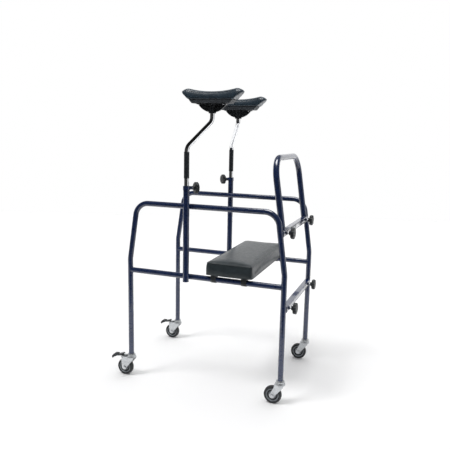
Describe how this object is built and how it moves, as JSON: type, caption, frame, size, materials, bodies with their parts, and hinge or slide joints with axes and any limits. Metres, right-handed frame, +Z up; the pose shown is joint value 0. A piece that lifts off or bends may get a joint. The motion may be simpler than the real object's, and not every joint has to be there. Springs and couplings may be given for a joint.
{
  "type": "walking frame",
  "caption": "Tubular walking frame on swivel castors with height-adjustable armpit supports, sliding padded seat and rear push handle.",
  "frame": {"origin": "on the floor under the middle of the bounding box", "axes": "+X the way the user walks, +Y the user's left, +Z up"},
  "size_m": [0.893, 0.601, 1.366],
  "materials": {
    "navy_paint": "gloss powder coat",
    "chrome": "polished",
    "zinc": "bright zinc plating",
    "black_plastic": "moulded, dusty satin",
    "sleeve_black": "satin",
    "pad_vinyl": "soft vinyl with a low sheen",
    "seat_vinyl": "soft vinyl with a low sheen",
    "plywood": "bare ply",
    "wheel_grey": "moulded",
    "tyre": "smooth solid tyre"
  },
  "bodies": {
    "frame": {"side_hoop_l": "navy_paint", "side_hoop_r": "navy_paint", "mid_rail_l": "navy_paint", "mid_rail_r": "navy_paint", "post_l": "navy_paint", "post_r": "navy_paint", "post_bushes": "black_plastic", "cross_stubs": "navy_paint", "cross_upper": "navy_paint", "cross_lower": "navy_paint", "push_handle": "navy_paint", "castor_plugs": "black_plastic", "castor_races": "zinc"},
    "seat": {"seat_board": "plywood", "seat_cushion": "seat_vinyl", "seat_clips": "black_plastic", "seat_screws": "zinc"},
    "lift_l": {"stem_rod_l": "chrome"},
    "support_l": {"stem_l": "chrome", "stem_sleeve_l": "sleeve_black", "pad_bracket_l": "black_plastic", "pad_base_l": "black_plastic", "armpit_pad_l": "pad_vinyl"},
    "lift_r": {"stem_rod_r": "chrome"},
    "support_r": {"stem_r": "chrome", "stem_sleeve_r": "sleeve_black", "pad_bracket_r": "black_plastic", "pad_base_r": "black_plastic", "armpit_pad_r": "pad_vinyl"},
    "clamp_post_l": {"knob_post_l": "black_plastic", "stud_post_l": "zinc"},
    "clamp_post_r": {"knob_post_r": "black_plastic", "stud_post_r": "zinc"},
    "clamp_upper_l": {"knob_upper_l": "black_plastic", "stud_upper_l": "zinc"},
    "clamp_upper_r": {"knob_upper_r": "black_plastic", "stud_upper_r": "zinc"},
    "clamp_lower_l": {"knob_lower_l": "black_plastic", "stud_lower_l": "zinc"},
    "clamp_lower_r": {"knob_lower_r": "black_plastic", "stud_lower_r": "zinc"},
    "castor_fl": {"fork_fl": "zinc", "axle_fl": "zinc"},
    "wheel_fl": {"core_fl": "wheel_grey", "tyre_fl": "tyre"},
    "castor_fr": {"fork_fr": "zinc", "axle_fr": "zinc"},
    "wheel_fr": {"core_fr": "wheel_grey", "tyre_fr": "tyre"},
    "castor_rl": {"fork_rl": "zinc", "axle_rl": "zinc"},
    "wheel_rl": {"core_rl": "wheel_grey", "tyre_rl": "tyre"},
    "castor_rr": {"fork_rr": "zinc", "axle_rr": "zinc"},
    "wheel_rr": {"core_rr": "wheel_grey", "tyre_rr": "tyre"},
    "brake_l": {"brake_l": "black_plastic"},
    "brake_r": {"brake_r": "black_plastic"}
  },
  "joints": [
    {"name": "seat_slide", "type": "slide", "parent": "frame", "child": "seat", "axis": [1, 0, 0], "range_m": [-0.11, 0.065]},
    {"name": "support_height_l", "type": "slide", "parent": "frame", "child": "lift_l", "axis": [0, 0, 1], "range_m": [-0.03, 0.15]},
    {"name": "support_turn_l", "type": "hinge", "parent": "lift_l", "child": "support_l", "pos_m": [0.0485, 0.285, 0.8], "axis": [0, 0, 1], "range_deg": [-45, 45]},
    {"name": "support_height_r", "type": "slide", "parent": "frame", "child": "lift_r", "axis": [0, 0, 1], "range_m": [-0.03, 0.15]},
    {"name": "support_turn_r", "type": "hinge", "parent": "lift_r", "child": "support_r", "pos_m": [0.0485, -0.285, 0.8], "axis": [0, 0, 1], "range_deg": [-45, 45]},
    {"name": "clamp_post_l_turn", "type": "hinge", "parent": "frame", "child": "clamp_post_l", "pos_m": [0.02022, 0.25672, 0.934], "axis": [-0.7071, -0.7071, 0], "range_deg": [0, 720]},
    {"name": "clamp_post_r_turn", "type": "hinge", "parent": "frame", "child": "clamp_post_r", "pos_m": [0.07678, -0.25672, 0.934], "axis": [0.7071, 0.7071, 0], "range_deg": [0, 720]},
    {"name": "clamp_upper_l_turn", "type": "hinge", "parent": "frame", "child": "clamp_upper_l", "pos_m": [-0.40208, 0.199, 0.757], "axis": [-1, 0, 0], "range_deg": [0, 720]},
    {"name": "clamp_upper_r_turn", "type": "hinge", "parent": "frame", "child": "clamp_upper_r", "pos_m": [-0.40208, -0.199, 0.757], "axis": [-1, 0, 0], "range_deg": [0, 720]},
    {"name": "clamp_lower_l_turn", "type": "hinge", "parent": "frame", "child": "clamp_lower_l", "pos_m": [-0.4275, 0.206, 0.428], "axis": [-1, 0, 0], "range_deg": [0, 720]},
    {"name": "clamp_lower_r_turn", "type": "hinge", "parent": "frame", "child": "clamp_lower_r", "pos_m": [-0.4275, -0.206, 0.428], "axis": [-1, 0, 0], "range_deg": [0, 720]},
    {"name": "castor_fl_swivel", "type": "hinge", "parent": "frame", "child": "castor_fl", "pos_m": [0.3465, 0.259, 0.095], "axis": [0, 0, 1], "continuous": true},
    {"name": "wheel_fl_roll", "type": "hinge", "parent": "castor_fl", "child": "wheel_fl", "pos_m": [0.3785, 0.259, 0.04], "axis": [0, 1, 0], "continuous": true},
    {"name": "castor_fr_swivel", "type": "hinge", "parent": "frame", "child": "castor_fr", "pos_m": [0.3465, -0.259, 0.095], "axis": [0, 0, 1], "continuous": true},
    {"name": "wheel_fr_roll", "type": "hinge", "parent": "castor_fr", "child": "wheel_fr", "pos_m": [0.3785, -0.259, 0.04], "axis": [0, 1, 0], "continuous": true},
    {"name": "castor_rl_swivel", "type": "hinge", "parent": "frame", "child": "castor_rl", "pos_m": [-0.3975, 0.259, 0.095], "axis": [0, 0, 1], "continuous": true},
    {"name": "wheel_rl_roll", "type": "hinge", "parent": "castor_rl", "child": "wheel_rl", "pos_m": [-0.3655, 0.259, 0.04], "axis": [0, 1, 0], "continuous": true},
    {"name": "castor_rr_swivel", "type": "hinge", "parent": "frame", "child": "castor_rr", "pos_m": [-0.3975, -0.259, 0.095], "axis": [0, 0, 1], "continuous": true},
    {"name": "wheel_rr_roll", "type": "hinge", "parent": "castor_rr", "child": "wheel_rr", "pos_m": [-0.3655, -0.259, 0.04], "axis": [0, 1, 0], "continuous": true},
    {"name": "brake_l_press", "type": "hinge", "parent": "castor_fl", "child": "brake_l", "pos_m": [0.3865, 0.259, 0.09], "axis": [0, 1, 0], "range_deg": [0, 12]},
    {"name": "brake_r_press", "type": "hinge", "parent": "castor_fr", "child": "brake_r", "pos_m": [0.3865, -0.259, 0.09], "axis": [0, 1, 0], "range_deg": [0, 12]}
  ]
}
